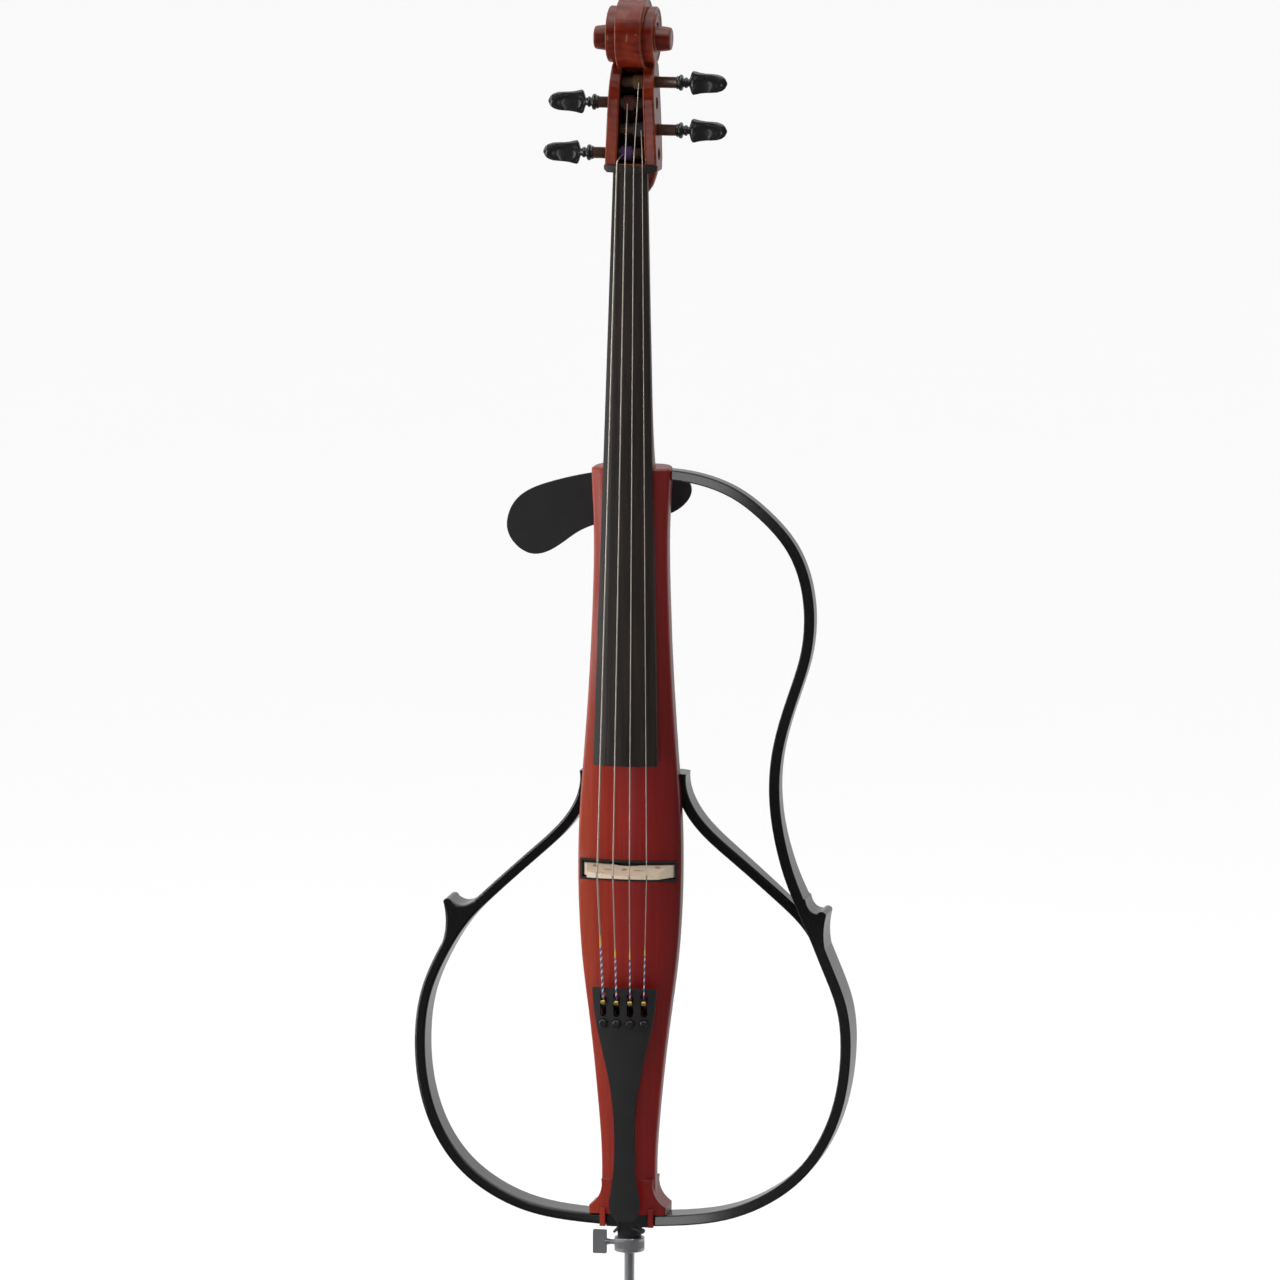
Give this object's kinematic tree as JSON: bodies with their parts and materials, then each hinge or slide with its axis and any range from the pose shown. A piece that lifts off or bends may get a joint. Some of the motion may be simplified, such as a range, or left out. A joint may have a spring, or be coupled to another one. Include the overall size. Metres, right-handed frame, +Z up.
{
  "type": "electric cello",
  "caption": "Slim-bodied electric cello with open bout frames, pegs, bridge, tailpiece with fine tuners, chest pad and sliding endpin.",
  "frame": {"origin": "on the endpin's axis at the lower end of its straight foot shank", "axes": "+Z up along the instrument, -Y to the front (string side), +X to the right seen from the front"},
  "size_m": [0.4396, 0.1122, 1.5124],
  "materials": {
    "red_wood": "satin red varnish over maple",
    "amber_wood": "glossy red-brown varnish over maple",
    "ebony": "oiled black",
    "bare_maple": "bare, fine-sanded",
    "black_frame": "gloss black",
    "black_plastic": "fine matte",
    "peg_black": "satin black",
    "steel": "brushed, knurled where gripped",
    "screw_steel": "black oxide",
    "string_steel": "wound steel",
    "silk": "violet thread",
    "brass": "polished",
    "gut_cord": "black cable",
    "pad_cushion": "black fine-grained cover",
    "sensor": "moulded",
    "lead": "insulated",
    "board_green": "solder mask",
    "cell": "plain sleeve",
    "nickel": "nickel plated"
  },
  "bodies": {
    "root": {"batteries": "cell", "battery_box": "black_plastic", "battery_contacts": "nickel", "body": "red_wood", "bridge": "bare_maple", "bridge_bezel": "black_plastic", "circuit_board": "board_green", "control_panel": "black_plastic", "dc_inlet": "black_plastic", "end_block": "black_plastic", "endpin_collar": "steel", "endpin_plug": "black_plastic", "fingerboard": "ebony", "frame_screws": "screw_steel", "left_frame": "black_frame", "line_jack": "nickel", "mini_jacks": "nickel", "neck": "amber_wood", "nut": "ebony", "pad_post": "black_plastic", "panel_screws": "screw_steel", "pegbox_scroll": "amber_wood", "pickup": "sensor", "pickup_lead": "lead", "right_brace": "black_frame", "right_frame": "black_frame", "string_a": "string_steel", "string_c": "string_steel", "string_d": "string_steel", "string_g": "string_steel", "tailgut": "gut_cord", "tailpiece": "black_plastic"},
    "peg_c": {"peg_c": "peg_black", "winding_c": "silk"},
    "tuner_screw_c": {"tuner_screw_c": "peg_black"},
    "tuner_lever_c": {"tuner_lever_c": "screw_steel", "ball_end_c": "brass"},
    "peg_g": {"peg_g": "peg_black", "winding_g": "silk"},
    "tuner_screw_g": {"tuner_screw_g": "peg_black"},
    "tuner_lever_g": {"tuner_lever_g": "screw_steel", "ball_end_g": "brass"},
    "peg_d": {"peg_d": "peg_black", "winding_d": "silk"},
    "tuner_screw_d": {"tuner_screw_d": "peg_black"},
    "tuner_lever_d": {"tuner_lever_d": "screw_steel", "ball_end_d": "brass"},
    "peg_a": {"peg_a": "peg_black", "winding_a": "silk"},
    "tuner_screw_a": {"tuner_screw_a": "peg_black"},
    "tuner_lever_a": {"tuner_lever_a": "screw_steel", "ball_end_a": "brass"},
    "endpin": {"endpin_rod": "steel"},
    "thumbscrew": {"endpin_thumbscrew": "steel"},
    "pad": {"chest_pad": "pad_cushion", "pad_plate": "black_plastic"},
    "pad_knob": {"pad_knob": "black_plastic"},
    "volume": {"volume_knob": "black_plastic"},
    "reverb": {"reverb_switch": "black_plastic"},
    "battery_lid": {"battery_cover": "black_plastic"}
  },
  "joints": [
    {"name": "peg_c_turn", "type": "hinge", "parent": "root", "child": "peg_c", "pos_m": [0, 0.002, 1.341], "axis": [-1, 0, 0], "continuous": true},
    {"name": "peg_g_turn", "type": "hinge", "parent": "root", "child": "peg_g", "pos_m": [0, 0.002, 1.391], "axis": [-1, 0, 0], "continuous": true},
    {"name": "peg_d_turn", "type": "hinge", "parent": "root", "child": "peg_d", "pos_m": [0, 0.002, 1.412], "axis": [1, 0, 0], "continuous": true},
    {"name": "peg_a_turn", "type": "hinge", "parent": "root", "child": "peg_a", "pos_m": [0, 0.002, 1.365], "axis": [1, 0, 0], "continuous": true},
    {"name": "tuner_screw_c_turn", "type": "hinge", "parent": "root", "child": "tuner_screw_c", "pos_m": [-0.0204, -0.032, 0.48], "axis": [0, 1, 0], "range_deg": [0, 1440]},
    {"name": "tuner_lever_c_tilt", "type": "hinge", "parent": "root", "child": "tuner_lever_c", "pos_m": [-0.0204, -0.031, 0.5015], "axis": [1, 0, 0], "range_deg": [0, 7.6]},
    {"name": "tuner_screw_g_turn", "type": "hinge", "parent": "root", "child": "tuner_screw_g", "pos_m": [-0.0068, -0.032, 0.48], "axis": [0, 1, 0], "range_deg": [0, 1440]},
    {"name": "tuner_lever_g_tilt", "type": "hinge", "parent": "root", "child": "tuner_lever_g", "pos_m": [-0.0068, -0.031, 0.5015], "axis": [1, 0, 0], "range_deg": [0, 7.6]},
    {"name": "tuner_screw_d_turn", "type": "hinge", "parent": "root", "child": "tuner_screw_d", "pos_m": [0.0068, -0.032, 0.48], "axis": [0, 1, 0], "range_deg": [0, 1440]},
    {"name": "tuner_lever_d_tilt", "type": "hinge", "parent": "root", "child": "tuner_lever_d", "pos_m": [0.0068, -0.031, 0.5015], "axis": [1, 0, 0], "range_deg": [0, 7.6]},
    {"name": "tuner_screw_a_turn", "type": "hinge", "parent": "root", "child": "tuner_screw_a", "pos_m": [0.0204, -0.032, 0.48], "axis": [0, 1, 0], "range_deg": [0, 1440]},
    {"name": "tuner_lever_a_tilt", "type": "hinge", "parent": "root", "child": "tuner_lever_a", "pos_m": [0.0204, -0.031, 0.5015], "axis": [1, 0, 0], "range_deg": [0, 7.6]},
    {"name": "endpin_slide", "type": "slide", "parent": "root", "child": "endpin", "axis": [0, 0, 1], "range_m": [-0.12, 0.18]},
    {"name": "thumbscrew_turn", "type": "hinge", "parent": "root", "child": "thumbscrew", "pos_m": [-0.02, 0, 0.253], "axis": [-1, 0, 0], "range_deg": [-60, 720]},
    {"name": "pad_tilt", "type": "hinge", "parent": "root", "child": "pad", "pos_m": [-0.005, 0.045, 0.99], "axis": [0, 1, 0], "range_deg": [-20, 20]},
    {"name": "pad_knob_turn", "type": "hinge", "parent": "root", "child": "pad_knob", "pos_m": [-0.005, 0.048, 0.99], "axis": [0, 1, 0], "range_deg": [-540, 90]},
    {"name": "volume_turn", "type": "hinge", "parent": "root", "child": "volume", "pos_m": [0, 0.038, 0.873], "axis": [0, 1, 0], "range_deg": [0, 280]},
    {"name": "reverb_slide", "type": "slide", "parent": "root", "child": "reverb", "axis": [0, 0, 1], "range_m": [0, 0.006]},
    {"name": "battery_cover_slide", "type": "slide", "parent": "root", "child": "battery_lid", "axis": [0, 0, -1], "range_m": [0, 0.03]}
  ],
  "couplings": [
    {"joint": "tuner_lever_c_tilt", "follows": "tuner_screw_c_turn", "ratio": 0.0052},
    {"joint": "tuner_lever_g_tilt", "follows": "tuner_screw_g_turn", "ratio": 0.0052},
    {"joint": "tuner_lever_d_tilt", "follows": "tuner_screw_d_turn", "ratio": 0.0052},
    {"joint": "tuner_lever_a_tilt", "follows": "tuner_screw_a_turn", "ratio": 0.0052}
  ]
}
